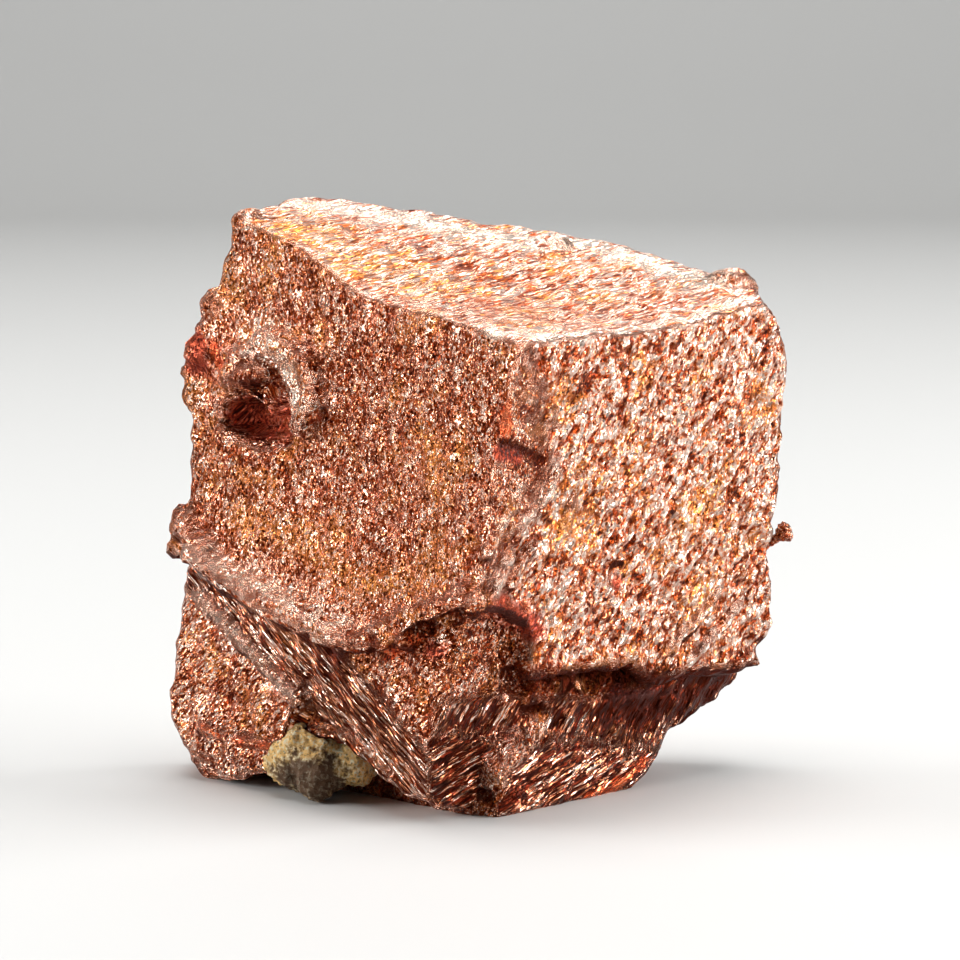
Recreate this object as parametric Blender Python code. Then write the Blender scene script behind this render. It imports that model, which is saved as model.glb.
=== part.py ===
"""A blocky native copper crystal with a remnant of its matrix rock, about 45 mm across.

The copper grew as one piece: a distorted cube standing on a smaller crystal and a low block, which
it overhangs as a ledge. Each is a set of flat faces, and a face is given by the way it looks (its
azimuth, with 0 towards -Y and 90 towards +X), its tilt above the level and its reach from the
crystal's heart. Ridges, lumps and pits are added to those faces, and the skin is a net of points
that each lie where their ray leaves the form. Work is done in millimetres and scaled once, at the
end, to metres.
"""

import math

import bmesh
import bpy
import numpy as np

MILLIMETRE = 0.001
HEART = np.array((0.0, 3.0, 20.0))
BOX_MIDDLE = np.array((-0.33, 4.48, 0.0))

# Each net is a box of quads between four corners below and four above (left, front, right, back),
# and each of its rays starts in a smaller box, the core.
COPPER_NET = (
    ((-20.5, 9.0, 1.5), (-3.5, -4.0, 0.5), (20.0, 14.0, 6.0), (2.0, 14.0, 1.0)),
    ((-16.8, 8.2, 41.0), (2.6, -9.6, 33.7), (20.4, 7.4, 35.0), (4.0, 14.5, 39.5)),
)
COPPER_CORE = (
    ((-11.0, 7.0, 15.5), (-1.0, -1.5, 14.0), (13.0, 10.0, 13.5), (2.0, 11.0, 14.0)),
    ((-10.5, 7.5, 32.0), (1.0, -2.0, 27.0), (13.5, 7.0, 28.0), (3.5, 10.5, 31.0)),
)
MATRIX_NET = (
    ((-14.0, 5.5, 0.5), (-10.5, 1.5, 0.5), (-7.5, 4.5, 0.8), (-11.0, 9.0, 0.8)),
    ((-14.0, 6.5, 5.0), (-11.5, 3.0, 5.0), (-8.5, 5.5, 4.0), (-12.0, 9.5, 5.5)),
)
MATRIX_CORE = (
    ((-11.5, 5.2, 2.0), (-10.9, 4.6, 2.0), (-10.4, 5.2, 2.0), (-10.9, 5.8, 2.0)),
    ((-11.6, 5.3, 2.8), (-11.0, 4.7, 2.8), (-10.5, 5.3, 2.8), (-11.0, 5.9, 2.8)),
)
COPPER_CUTS = 43
MATRIX_CUTS = 10
COPPER_KEPT = 0.35
GAP = 1.1

# How the rays find the skin: steps along a ray, its length, and halvings of the last step.
STRIDE = 0.5
LONGEST_RAY = 26.0
HALVINGS = 12

# How the net is evened out: rounds, the share of the way to the neighbours' middle, then the moves
# back to the skin, the farthest of them, and the least steepness of the form that is trusted.
SETTLING_ROUNDS = 12
EVENING = 0.6
MOVES_BACK = 2
FARTHEST_MOVE = 0.6
LEAST_STEEPNESS = 0.3
SLOPE_STEP = 0.02

# Azimuth and tilt in degrees, then reach in millimetres.
TOP = (32.7, 74.0, 16.5)
LEFT_FRONT = (-40.4, 3.9, 8.8)
RIGHT_FRONT = (43.9, -9.8, 8.4)
LEFT_SIDE = (-120.8, 1.0, 21.1)
LEFT_SHOULDER = (-120.8, 17.7, 22.9)
RIGHT_SIDE = (108.0, 0.1, 22.95)
RIGHT_SHOULDER = (100.0, 30.0, 25.4)
BACK = (180.0, 4.3, 13.8)
BACK_RIGHT = (154.0, 9.4, 18.0)
BAND = (-49.7, -12.8, 11.5)
BAND_UNDERSIDE = (-90.0, -53.0, 17.9)
LOWER_RIGHT = (41.5, -15.0, 8.05)
FRONT_UNDERSIDE = (-60.0, -70.0, 19.7)
LOWER_END = (90.0, -12.0, 16.2)
LOWER_END_BEVEL = (90.0, -45.0, 21.9)
FOOT_FACE = (44.6, -1.8, 5.4)
FOOT_STEP = (-40.0, 36.6, -8.6)
WEDGE_UNDERSIDE = (90.0, -62.0, 21.0)
LOW_BLOCK_SIDE = (-105.0, 10.0, 21.2)
LOW_BLOCK_END = (60.0, -22.0, -5.8)
LOW_BLOCK_BEVEL = (-42.0, -26.0, 15.7)
LOW_BLOCK_OUTER_UNDERSIDE = (-90.0, -25.0, 26.8)
LOW_BLOCK_INNER_UNDERSIDE = (90.0, -71.0, 12.8)

# How far the faces below the ledge are set back from those above it.
LEFT_INSET = 0.4
RIGHT_INSET = 1.4
LOW_BLOCK_INSET = 1.6
WEDGE_INSET = 0.4
BACK_INSET = 2.5

# How widely two faces round their edge, and two bodies their join.
EDGE_SOFTNESS = 0.5
JOIN_SOFTNESS = 0.6

# Height of the ledge along X: the lip of the left front face, its rise to the front edge, the step
# down to the right front face, and that face's lower edge.
LEDGE_X = (-22.0, -17.0, -10.4, -6.9, -0.5, 1.5, 3.0, 3.6, 10.6, 12.3, 15.0, 21.0)
LEDGE_Z = (18.0, 14.2, 12.0, 12.2, 16.2, 16.0, 14.5, 10.2, 9.8, 8.1, 8.3, 7.6)
LEDGE_OVERLAP = 1.5
LEDGE_STEEPNESS = 0.85
FOOT_TOP = 9.0
WEDGE_START = 6.0

# Dishes in the top face: the centre, three radii and the depth. The scoop is one in the left front face.
TOP_DISHES = (
    ((5.0, 3.0, 37.0), (10.0, 6.0, 9.0), 1.5),
    ((-7.0, -1.0, 37.5), (6.5, 5.5, 6.0), 1.1),
)
SCOOP_PLACE = (-9.0, 22.0)
SCOOP_RADII = (8.0, 8.0, 7.0)
SCOOP_DEPTH = 0.9

# Routes on the two front faces, as X and Z.
LEFT_LIP = (
    (-20.9, 18.6),
    (-19.4, 16.4),
    (-17.0, 14.6),
    (-13.4, 13.0),
    (-10.4, 12.2),
    (-6.9, 12.3),
    (-0.6, 16.2),
)
CORNER_LIP = ((-0.4, 16.2), (1.4, 15.9), (3.2, 14.6))
RIGHT_LIP = ((3.6, 10.4), (7.0, 10.3), (10.6, 10.1), (12.2, 8.4), (15.0, 8.5), (20.0, 8.2))
POCKET_RIM = ((-16.6, 31.2), (-14.2, 32.2), (-12.2, 31.4), (-11.6, 29.2), (-12.4, 26.8))

# Ridges: the face, the route on it, how far out the route lies, and the radius.
RIDGES = (
    (LEFT_FRONT, LEFT_LIP, -0.2, 1.0),
    (RIGHT_FRONT, CORNER_LIP, -0.4, 0.8),
    (RIGHT_FRONT, RIGHT_LIP, -0.6, 0.8),
    (LEFT_FRONT, POCKET_RIM, -0.1, 0.9),
)

# Round lumps on the left outline: X and Z on the left front face, then the radius. Each lies half of
# that behind the face.
LEFT_LUMPS = (
    (-19.1, 34.4, 1.2),
    (-19.6, 32.7, 0.9),
    (-20.1, 31.2, 1.3),
    (-20.8, 29.7, 0.8),
    (-20.3, 28.2, 1.3),
    (-21.5, 19.5, 0.8),
    (-21.4, 18.3, 1.1),
    (-21.8, 17.1, 0.8),
    (-20.3, 17.0, 0.9),
    (-18.8, 15.7, 0.7),
)

# Lumps at any place, and the foot hidden at the rear: the point, then its three radii.
FREE_LUMPS = (
    ((5.2, 13.3, 38.4), (1.3, 0.9, 0.9)),
    ((17.9, 10.3, 35.9), (1.7, 1.2, 1.2)),
    ((-16.4, 8.6, 40.5), (1.1, 0.8, 0.8)),
    ((-10.0, 12.0, 3.2), (2.8, 2.4, 3.6)),
)

# Pits on the front faces: the pocket, two chips under the ledge's lip and an etch pit. Each has its
# face, X and Z on it, how far out it lies, and its three radii.
PITS = (
    (LEFT_FRONT, (-16.0, 27.9), 0.4, (3.4, 2.8, 3.2)),
    (LEFT_FRONT, (-2.6, 13.4), 0.3, (2.6, 1.4, 1.2)),
    (RIGHT_FRONT, (1.6, 13.2), 0.3, (1.8, 1.6, 1.4)),
    (RIGHT_FRONT, (9.6, 16.4), 0.3, (0.9, 0.7, 0.7)),
)
HOLLOW_BENEATH = ((4.0, 8.5, -1.0), (4.0, 4.0, 2.2))

# Waves are sums of sines in directions that turn by the golden angle. There are gentle ones over the
# skin, and larger ones that come in towards the rear and fade below the rim: their width
# and height, and where they start and over how far.
SINES = 7
GOLDEN_ANGLE = 137.5
SKIN_WAVES = (3.0, 0.1)
REAR_WAVES = (8.0, 0.6)
REAR_START = 10.0
RIM_HEIGHT = 39.0
FADE = 5.0

# Lumps of the matrix rock: the point, then its three radii.
MATRIX_LUMPS = (
    ((-11.9, 5.6, 3.0), (3.4, 3.4, 2.8)),
    ((-11.4, 2.9, 1.9), (1.5, 1.5, 1.9)),
    ((-9.0, 3.6, 2.7), (1.9, 2.0, 1.7)),
    ((-14.2, 5.6, 2.4), (1.6, 1.7, 1.3)),
)
MATRIX_WAVES = (2.2, 0.12)


def looks_along(azimuth, tilt):
    """Unit vector out of a face."""
    a, t = math.radians(azimuth), math.radians(tilt)
    return np.array((math.sin(a) * math.cos(t), -math.cos(a) * math.cos(t), math.sin(t)))


def past(points, face, inset=0.0):
    """Distance of each point beyond a face that is moved inwards by the inset."""
    azimuth, tilt, reach = face
    return (points - HEART) @ looks_along(azimuth, tilt) - (reach - inset)


def on_face(face, x, z, out=0.0):
    """The point of a steep face at this X and Z, moved out from it."""
    azimuth, tilt, reach = face
    normal = looks_along(azimuth, tilt)
    y = HEART[1] + (reach - normal[0] * (x - HEART[0]) - normal[2] * (z - HEART[2])) / normal[1]
    return np.array((x, y, z)) + normal * out


def soft_max(first, second, softness):
    """The larger of two distances, rounded where they are nearly equal."""
    near = np.maximum(softness - np.abs(first - second), 0.0)
    return np.maximum(first, second) + near * near / (4.0 * softness)


def soft_min(first, second, softness):
    return -soft_max(-first, -second, softness)


def block(distances):
    """The body behind every one of its faces."""
    result = distances[0]
    for distance in distances[1:]:
        result = soft_max(result, distance, EDGE_SOFTNESS)
    return result


def hollow(points, centre, radii, depth):
    """A smooth dish: its depth falls off as a bell curve of the distance in radii."""
    spread = (((points - centre) / radii) ** 2).sum(axis=1)
    return depth * np.exp(-spread)


def above_ledge(points):
    return points[:, 2] - np.interp(points[:, 0], LEDGE_X, LEDGE_Z)


def main_crystal(points):
    """The distorted cube, cut off below along the ledge."""
    dish = sum(hollow(points, *one) for one in TOP_DISHES)
    scoop = hollow(points, on_face(LEFT_FRONT, *SCOOP_PLACE), SCOOP_RADII, SCOOP_DEPTH)
    return block(
        (
            past(points, TOP) + dish,
            past(points, LEFT_FRONT) + scoop,
            past(points, RIGHT_FRONT),
            past(points, LEFT_SIDE),
            past(points, LEFT_SHOULDER),
            past(points, RIGHT_SIDE),
            past(points, RIGHT_SHOULDER),
            past(points, BACK),
            past(points, BACK_RIGHT),
            -LEDGE_STEEPNESS * above_ledge(points),
        )
    )


def lower_crystal(points):
    """The smaller crystal under the front edge, with its long band and its lower right face."""
    return block(
        (
            past(points, LEFT_FRONT, LEFT_INSET),
            past(points, RIGHT_FRONT, RIGHT_INSET),
            past(points, LEFT_SIDE, LEFT_INSET),
            past(points, BAND),
            past(points, BAND_UNDERSIDE),
            past(points, LOWER_RIGHT),
            past(points, FRONT_UNDERSIDE),
            past(points, LOWER_END),
            past(points, LOWER_END_BEVEL),
            past(points, BACK, BACK_INSET),
            above_ledge(points) - LEDGE_OVERLAP,
        )
    )


def foot(points):
    """The proud end of the lower right face, which reaches the ground in front."""
    return block(
        (
            past(points, FOOT_FACE),
            past(points, FOOT_STEP),
            past(points, LOWER_END),
            past(points, LOWER_END_BEVEL),
            past(points, BACK, BACK_INSET),
            points[:, 2] - FOOT_TOP,
        )
    )


def right_wedge(points):
    """What carries the right front face where it overhangs."""
    return block(
        (
            past(points, RIGHT_FRONT, RIGHT_INSET),
            past(points, RIGHT_SIDE, WEDGE_INSET),
            past(points, WEDGE_UNDERSIDE),
            past(points, BACK, BACK_INSET),
            above_ledge(points) - LEDGE_OVERLAP,
            WEDGE_START - points[:, 0],
        )
    )


def low_block(points):
    """The low block at the left, set back from the face above it."""
    return block(
        (
            past(points, LEFT_FRONT, LOW_BLOCK_INSET),
            past(points, LOW_BLOCK_SIDE),
            past(points, LOW_BLOCK_END),
            past(points, LOW_BLOCK_BEVEL),
            past(points, LOW_BLOCK_OUTER_UNDERSIDE),
            past(points, LOW_BLOCK_INNER_UNDERSIDE),
            past(points, BACK, BACK_INSET),
            above_ledge(points) - LEDGE_OVERLAP,
        )
    )


def rib(points, route, radius):
    """Distance to a round ridge along a route of hand-set points."""
    nearest = np.full(len(points), np.inf)
    for start, end in zip(route[:-1], route[1:]):
        along = end - start
        share = np.clip((points - start) @ along / (along @ along), 0.0, 1.0)
        gap = points - (start + share[:, None] * along)
        nearest = np.minimum(nearest, np.sqrt((gap * gap).sum(axis=1)))
    return nearest - radius


def lump(points, centre, radii):
    """Distance to a rounded lump, nearly true close to its skin."""
    radii = np.asarray(radii, float)
    scaled = np.sqrt((((points - centre) / radii) ** 2).sum(axis=1))
    return (scaled - 1.0) * radii.min()


def face_route(face, places, out):
    return [on_face(face, x, z, out) for x, z in places]


def ridges(points):
    """The raised lips of the ledge and the rim of the pocket above it."""
    found = np.full(len(points), np.inf)
    for face, places, out, radius in RIDGES:
        found = np.minimum(found, rib(points, face_route(face, places, out), radius))
    return found


def lumps(points):
    """Lumps on the left outline and on the rims, and the foot hidden at the rear."""
    found = np.full(len(points), np.inf)
    for x, z, radius in LEFT_LUMPS:
        centre = on_face(LEFT_FRONT, x, z, -0.5 * radius)
        found = np.minimum(found, lump(points, centre, (radius, radius, radius)))
    for centre, radii in FREE_LUMPS:
        found = np.minimum(found, lump(points, centre, radii))
    return found


def pits(points):
    """The pits on the front faces, and the hollow between the feet."""
    found = lump(points, *HOLLOW_BENEATH)
    for face, place, out, radii in PITS:
        found = np.minimum(found, lump(points, on_face(face, *place, out), radii))
    return found


def waves(points, size, height):
    """Gentle bumps about as wide as the size: bent sines, their directions a golden angle apart."""
    total = np.zeros(len(points))
    for turn in range(SINES):
        along = points @ looks_along(GOLDEN_ANGLE * turn, 20.0 * turn - 60.0)
        across = points @ looks_along(GOLDEN_ANGLE * turn + 71.0, 40.0 - 20.0 * turn)
        bend = np.sin(across * math.tau / (1.7 * size) + turn)
        total += np.sin(along * (1.0 + 0.13 * turn) * math.tau / size + 1.3 * bend + 2.0 * turn)
    return height * total / 3.0


def copper_form(points):
    """Signed distance, roughly, to the skin of the copper: negative inside. It stands on the level 0."""
    form = main_crystal(points)
    for part in (lower_crystal, foot, right_wedge, low_block, ridges, lumps):
        form = soft_min(form, part(points), JOIN_SOFTNESS)
    form = soft_max(form, -pits(points), JOIN_SOFTNESS)
    rearward = np.clip((points[:, 1] - REAR_START) / FADE, 0.0, 1.0)
    below_rim = np.clip((RIM_HEIGHT - points[:, 2]) / FADE, 0.0, 1.0)
    form = form + waves(points, *SKIN_WAVES) + rearward * below_rim * waves(points, *REAR_WAVES)
    return np.maximum(form, -points[:, 2])


def matrix_form(points):
    """The rock that fills the notch beside the band, with a thin gap to the copper."""
    form = np.full(len(points), np.inf)
    for place, radii in MATRIX_LUMPS:
        form = soft_min(form, lump(points, place, radii), JOIN_SOFTNESS)
    form = form + waves(points, *MATRIX_WAVES)
    return np.maximum(form, GAP - copper_form(points))


def unit_net(cuts):
    """A unit cube with its faces cut into a grid, and its points as an array from 0 to 1."""
    net = bmesh.new()
    bmesh.ops.create_cube(net, size=1.0)
    bmesh.ops.subdivide_edges(net, edges=net.edges[:], cuts=cuts, use_grid_fill=True)
    net.verts.index_update()
    return net, np.array([vertex.co[:] for vertex in net.verts]) + 0.5


def between_corners(places, corners):
    """Places in the unit cube, carried over to the box with these eight corners."""
    across, deep, up = places.T[:, :, None]
    low, high = np.array(corners)
    levels = [
        (1 - across) * (1 - deep) * level[0]
        + across * (1 - deep) * level[1]
        + across * deep * level[2]
        + (1 - across) * deep * level[3]
        for level in (low, high)
    ]
    return (1 - up) * levels[0] + up * levels[1]


def pushed_out(form, places, box, core):
    """Each point goes out from the core along its ray, to the last place where the skin is crossed."""
    start = between_corners(places, core)
    ray = between_corners(places, box) - start
    ray /= np.linalg.norm(ray, axis=1)[:, None]
    inside = np.zeros(len(start))
    outside = np.full(len(start), STRIDE)
    for distance in np.arange(STRIDE, LONGEST_RAY, STRIDE):
        within = form(start + distance * ray) < 0
        inside = np.where(within, distance, inside)
        outside = np.where(within, distance + STRIDE, outside)
    for _ in range(HALVINGS):
        middle = (inside + outside) / 2
        within = form(start + middle[:, None] * ray) < 0
        inside = np.where(within, middle, inside)
        outside = np.where(within, outside, middle)
    return start + inside[:, None] * ray


def slope(form, points):
    """The form's value at each point, and how it changes along X, Y and Z."""
    here = form(points)
    changes = [(form(points + SLOPE_STEP * axis) - here) / SLOPE_STEP for axis in np.eye(3)]
    return here, np.stack(changes, axis=1)


def settled(form, points, ends, rounds):
    """Evens the net out: each point moves towards its neighbours' middle, then back to the skin."""
    count = np.bincount(ends.ravel(), minlength=len(points))[:, None]
    for _ in range(rounds):
        middle = np.zeros_like(points)
        np.add.at(middle, ends[:, 0], points[ends[:, 1]])
        np.add.at(middle, ends[:, 1], points[ends[:, 0]])
        points = points + EVENING * (middle / count - points)
        for _ in range(MOVES_BACK):
            here, change = slope(form, points)
            steepness = np.maximum((change * change).sum(axis=1), LEAST_STEEPNESS)
            move = np.clip(here / steepness, -FARTHEST_MOVE, FARTHEST_MOVE)
            points = points - move[:, None] * change
    return points


def material(name, colour, roughness, metallic):
    made = bpy.data.materials.new(name)
    made.use_nodes = True
    shader = made.node_tree.nodes["Principled BSDF"]
    shader.inputs["Base Color"].default_value = (*colour, 1.0)
    shader.inputs["Roughness"].default_value = roughness
    shader.inputs["Metallic"].default_value = metallic
    return made


def node(name, form, cuts, box, core, finish):
    """The skin of a form as a closed mesh object in metres, centred on the whole thing's box."""
    net, places = unit_net(cuts)
    ends = np.array([[vertex.index for vertex in edge.verts] for edge in net.edges])
    points = settled(form, pushed_out(form, places, box, core), ends, SETTLING_ROUNDS)
    points[:, 2] = np.maximum(points[:, 2], 0.0)
    for vertex, point in zip(net.verts, (points - BOX_MIDDLE) * MILLIMETRE):
        vertex.co = point
    mesh = bpy.data.meshes.new(name)
    net.to_mesh(mesh)
    net.free()
    mesh.materials.append(finish)
    made = bpy.data.objects.new(name, mesh)
    bpy.context.scene.collection.objects.link(made)
    return made


def build_copper():
    copper = material("copper", (0.72, 0.30, 0.19), 0.35, 1.0)
    crystal = node("copper_crystal", copper_form, COPPER_CUTS, COPPER_NET, COPPER_CORE, copper)
    fewer = crystal.modifiers.new("fewer triangles", "DECIMATE")
    fewer.ratio = COPPER_KEPT


def build_matrix():
    rock = material("matrix", (0.42, 0.37, 0.25), 0.9, 0.0)
    node("matrix_rock", matrix_form, MATRIX_CUTS, MATRIX_NET, MATRIX_CORE, rock)


def main():
    for old in list(bpy.data.objects):
        bpy.data.objects.remove(old)
    build_copper()
    build_matrix()


main()
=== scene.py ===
"""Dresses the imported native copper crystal: its etched skin, its nub, its matrix rock and a plain stage.

The skin follows the same faces, ridges, lumps and pits as the solid. A face is given by its azimuth
(0 towards -Y, 90 towards +X), its tilt above the level and its reach from the crystal's heart.
Shapes are worked out in millimetres and put into their meshes in metres.
"""

import itertools
import math
from collections import namedtuple
from types import SimpleNamespace

import bpy
import numpy as np
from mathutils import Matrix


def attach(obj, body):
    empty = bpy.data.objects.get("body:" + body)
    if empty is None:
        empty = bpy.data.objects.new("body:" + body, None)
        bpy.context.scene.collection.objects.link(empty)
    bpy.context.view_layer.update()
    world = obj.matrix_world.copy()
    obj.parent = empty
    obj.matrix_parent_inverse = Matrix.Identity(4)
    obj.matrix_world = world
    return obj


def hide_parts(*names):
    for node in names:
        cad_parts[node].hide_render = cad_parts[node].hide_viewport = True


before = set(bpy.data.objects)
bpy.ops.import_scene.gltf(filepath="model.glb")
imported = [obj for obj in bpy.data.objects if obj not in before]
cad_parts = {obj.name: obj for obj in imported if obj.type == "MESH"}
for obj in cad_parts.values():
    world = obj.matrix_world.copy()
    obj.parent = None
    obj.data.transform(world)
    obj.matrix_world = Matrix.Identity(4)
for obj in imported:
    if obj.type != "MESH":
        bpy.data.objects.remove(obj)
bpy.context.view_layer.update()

bl_info = {
    "name": "Native copper crystal",
    "version": (1, 0, 0),
    "blender": (4, 5, 0),
    "location": "3D View > Sidebar > Copper crystal",
    "description": "Etched copper skin, matrix rock and stage around the packed crystal",
    "category": "Object",
}

MILLIMETRE = 0.001
HEART = np.array((0.0, 3.0, 20.0))
BOX_MIDDLE = np.array((-0.33, 4.48, 0.0))

# Each net is a box of quads between four corners below and four above (left, front, right, back),
# and each of its rays starts in a smaller box, the core.
COPPER_NET = (
    ((-20.5, 9.0, 1.5), (-3.5, -4.0, 0.5), (20.0, 14.0, 6.0), (2.0, 14.0, 1.0)),
    ((-16.8, 8.2, 41.0), (2.6, -9.6, 33.7), (20.4, 7.4, 35.0), (4.0, 14.5, 39.5)),
)
COPPER_CORE = (
    ((-11.0, 7.0, 15.5), (-1.0, -1.5, 14.0), (13.0, 10.0, 13.5), (2.0, 11.0, 14.0)),
    ((-10.5, 7.5, 32.0), (1.0, -2.0, 27.0), (13.5, 7.0, 28.0), (3.5, 10.5, 31.0)),
)
MATRIX_NET = (
    ((-14.0, 5.5, 0.5), (-10.5, 1.5, 0.5), (-7.5, 4.5, 0.8), (-11.0, 9.0, 0.8)),
    ((-14.0, 6.5, 5.0), (-11.5, 3.0, 5.0), (-8.5, 5.5, 4.0), (-12.0, 9.5, 5.5)),
)
MATRIX_CORE = (
    ((-11.5, 5.2, 2.0), (-10.9, 4.6, 2.0), (-10.4, 5.2, 2.0), (-10.9, 5.8, 2.0)),
    ((-11.6, 5.3, 2.8), (-11.0, 4.7, 2.8), (-10.5, 5.3, 2.8), (-11.0, 5.9, 2.8)),
)
COPPER_CUTS = (116, 116, 156)
MATRIX_CUTS = (56, 56, 56)
GAP = 0.15
LONGEST_RAY = 34.0
MARCHING_STEPS = 16

# How a net is evened out: how often its points move how far towards their neighbours' middle before
# they go back to the skin, how far they may go back, the least steepness used for that, the step that
# measures the slope, and how many rounds of all this the rock gets.
EVENINGS = 3
EVENING = 0.6
FARTHEST_MOVE = 0.6
LEAST_STEEPNESS = 0.3
SLOPE_STEP = 0.02
MATRIX_ROUNDS = 6

# Azimuth and tilt in degrees, then reach in millimetres.
TOP = (32.7, 74.0, 16.5)
LEFT_FRONT = (-40.4, 3.9, 8.8)
RIGHT_FRONT = (43.9, -9.8, 8.4)
LEFT_SIDE = (-120.8, 1.0, 21.1)
LEFT_SHOULDER = (-120.8, 17.7, 22.9)
RIGHT_SIDE = (108.0, 0.1, 22.95)
RIGHT_SHOULDER = (100.0, 30.0, 25.4)
BACK = (180.0, 4.3, 13.8)
BACK_RIGHT = (154.0, 9.4, 18.0)
BAND = (-49.7, -12.8, 11.5)
BAND_UNDERSIDE = (-90.0, -53.0, 17.9)
LOWER_RIGHT = (41.5, -15.0, 8.05)
FRONT_UNDERSIDE = (-60.0, -70.0, 19.7)
LOWER_END = (90.0, -12.0, 16.2)
LOWER_END_BEVEL = (90.0, -45.0, 21.9)
FOOT_FACE = (44.6, -1.8, 5.4)
FOOT_STEP = (-40.0, 36.6, -8.6)
WEDGE_UNDERSIDE = (90.0, -62.0, 21.0)
LOW_BLOCK_SIDE = (-105.0, 10.0, 21.2)
LOW_BLOCK_END = (60.0, -22.0, -5.8)
LOW_BLOCK_BEVEL = (-42.0, -26.0, 15.7)
LOW_BLOCK_OUTER_UNDERSIDE = (-90.0, -25.0, 26.8)
LOW_BLOCK_INNER_UNDERSIDE = (90.0, -71.0, 12.8)

# How far the faces below the ledge are set back from those above it.
LEFT_INSET = 0.4
RIGHT_INSET = 1.4
LOW_BLOCK_INSET = 1.6
WEDGE_INSET = 0.4
BACK_INSET = 2.5

# The faces of each body, below the ledge with how far they are set back.
MAIN_FACES = (RIGHT_FRONT, LEFT_SIDE, LEFT_SHOULDER, RIGHT_SIDE, RIGHT_SHOULDER, BACK, BACK_RIGHT)
LOWER_FACES = (
    (LEFT_FRONT, LEFT_INSET),
    (RIGHT_FRONT, RIGHT_INSET),
    (LEFT_SIDE, LEFT_INSET),
    (BAND, 0.0),
    (BAND_UNDERSIDE, 0.0),
    (LOWER_RIGHT, 0.0),
    (FRONT_UNDERSIDE, 0.0),
    (LOWER_END, 0.0),
    (LOWER_END_BEVEL, 0.0),
    (BACK, BACK_INSET),
)
FOOT_FACES = (
    (FOOT_FACE, 0.0),
    (FOOT_STEP, 0.0),
    (LOWER_END, 0.0),
    (LOWER_END_BEVEL, 0.0),
    (BACK, BACK_INSET),
)
WEDGE_FACES = (
    (RIGHT_FRONT, RIGHT_INSET),
    (RIGHT_SIDE, WEDGE_INSET),
    (WEDGE_UNDERSIDE, 0.0),
    (BACK, BACK_INSET),
)
LOW_BLOCK_FACES = (
    (LEFT_FRONT, LOW_BLOCK_INSET),
    (LOW_BLOCK_SIDE, 0.0),
    (LOW_BLOCK_END, 0.0),
    (LOW_BLOCK_BEVEL, 0.0),
    (LOW_BLOCK_OUTER_UNDERSIDE, 0.0),
    (LOW_BLOCK_INNER_UNDERSIDE, 0.0),
    (BACK, BACK_INSET),
)

# How widely two faces round their edge, and two bodies their join.
EDGE_SOFTNESS = 0.5
JOIN_SOFTNESS = 0.6
FINE_SOFTNESS = 0.35

# Height of the ledge along X: the lip of the left front face, its rise to the front edge, the step
# down to the right front face, and that face's lower edge.
LEDGE_X = (-22.0, -17.0, -10.4, -6.9, -0.5, 1.5, 3.0, 3.6, 10.6, 12.3, 15.0, 21.0)
LEDGE_Z = (18.0, 14.2, 12.0, 12.2, 16.2, 16.0, 14.5, 10.2, 9.8, 8.1, 8.3, 7.6)
LEDGE_OVERLAP = 1.5
LEDGE_STEEPNESS = 0.85
FOOT_TOP = 9.0
WEDGE_START = 6.0

# Dishes in the top face: the centre, three radii and the depth. The scoop is one in the left front face.
TOP_DISHES = (
    ((5.0, 3.0, 37.0), (10.0, 6.0, 9.0), 1.5),
    ((-7.0, -1.0, 37.5), (6.5, 5.5, 6.0), 1.1),
)
SCOOP_PLACE = (-9.0, 22.0)
SCOOP_RADII = (8.0, 8.0, 7.0)
SCOOP_DEPTH = 0.9

# Routes on the two front faces, as X and Z.
LEFT_LIP = (
    (-20.9, 18.6),
    (-19.4, 16.4),
    (-17.0, 14.6),
    (-13.4, 13.0),
    (-10.4, 12.2),
    (-6.9, 12.3),
    (-0.6, 16.2),
)
CORNER_LIP = ((-0.4, 16.2), (1.4, 15.9), (3.2, 14.6))
RIGHT_LIP = ((3.6, 10.4), (7.0, 10.3), (10.6, 10.1), (12.2, 8.4), (15.0, 8.5), (20.0, 8.2))
POCKET_RIM = ((-16.6, 31.2), (-14.2, 32.2), (-12.2, 31.4), (-11.6, 29.2), (-12.4, 26.8))

# Ridges: the face, the route on it, how far out the route lies, and the radius.
RIDGES = (
    (LEFT_FRONT, LEFT_LIP, -0.2, 1.0),
    (RIGHT_FRONT, CORNER_LIP, -0.4, 0.8),
    (RIGHT_FRONT, RIGHT_LIP, -0.6, 0.8),
    (LEFT_FRONT, POCKET_RIM, -0.1, 0.9),
)

# Round lumps on the left outline: X and Z on the left front face, then the radius. Each lies half of
# that behind the face.
LEFT_LUMPS = (
    (-19.1, 34.4, 1.2),
    (-19.6, 32.7, 0.9),
    (-20.1, 31.2, 1.3),
    (-20.8, 29.7, 0.8),
    (-20.3, 28.2, 1.3),
    (-21.5, 19.5, 0.8),
    (-21.4, 18.3, 1.1),
    (-21.8, 17.1, 0.8),
    (-20.3, 17.0, 0.9),
    (-18.8, 15.7, 0.7),
)

# Lumps at any place, and the foot hidden at the rear: the point, then its three radii.
FREE_LUMPS = (
    ((5.2, 13.3, 38.4), (1.3, 0.9, 0.9)),
    ((17.9, 10.3, 35.9), (1.7, 1.2, 1.2)),
    ((-16.4, 8.6, 40.5), (1.1, 0.8, 0.8)),
    ((-10.0, 12.0, 3.2), (2.8, 2.4, 3.6)),
)

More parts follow.
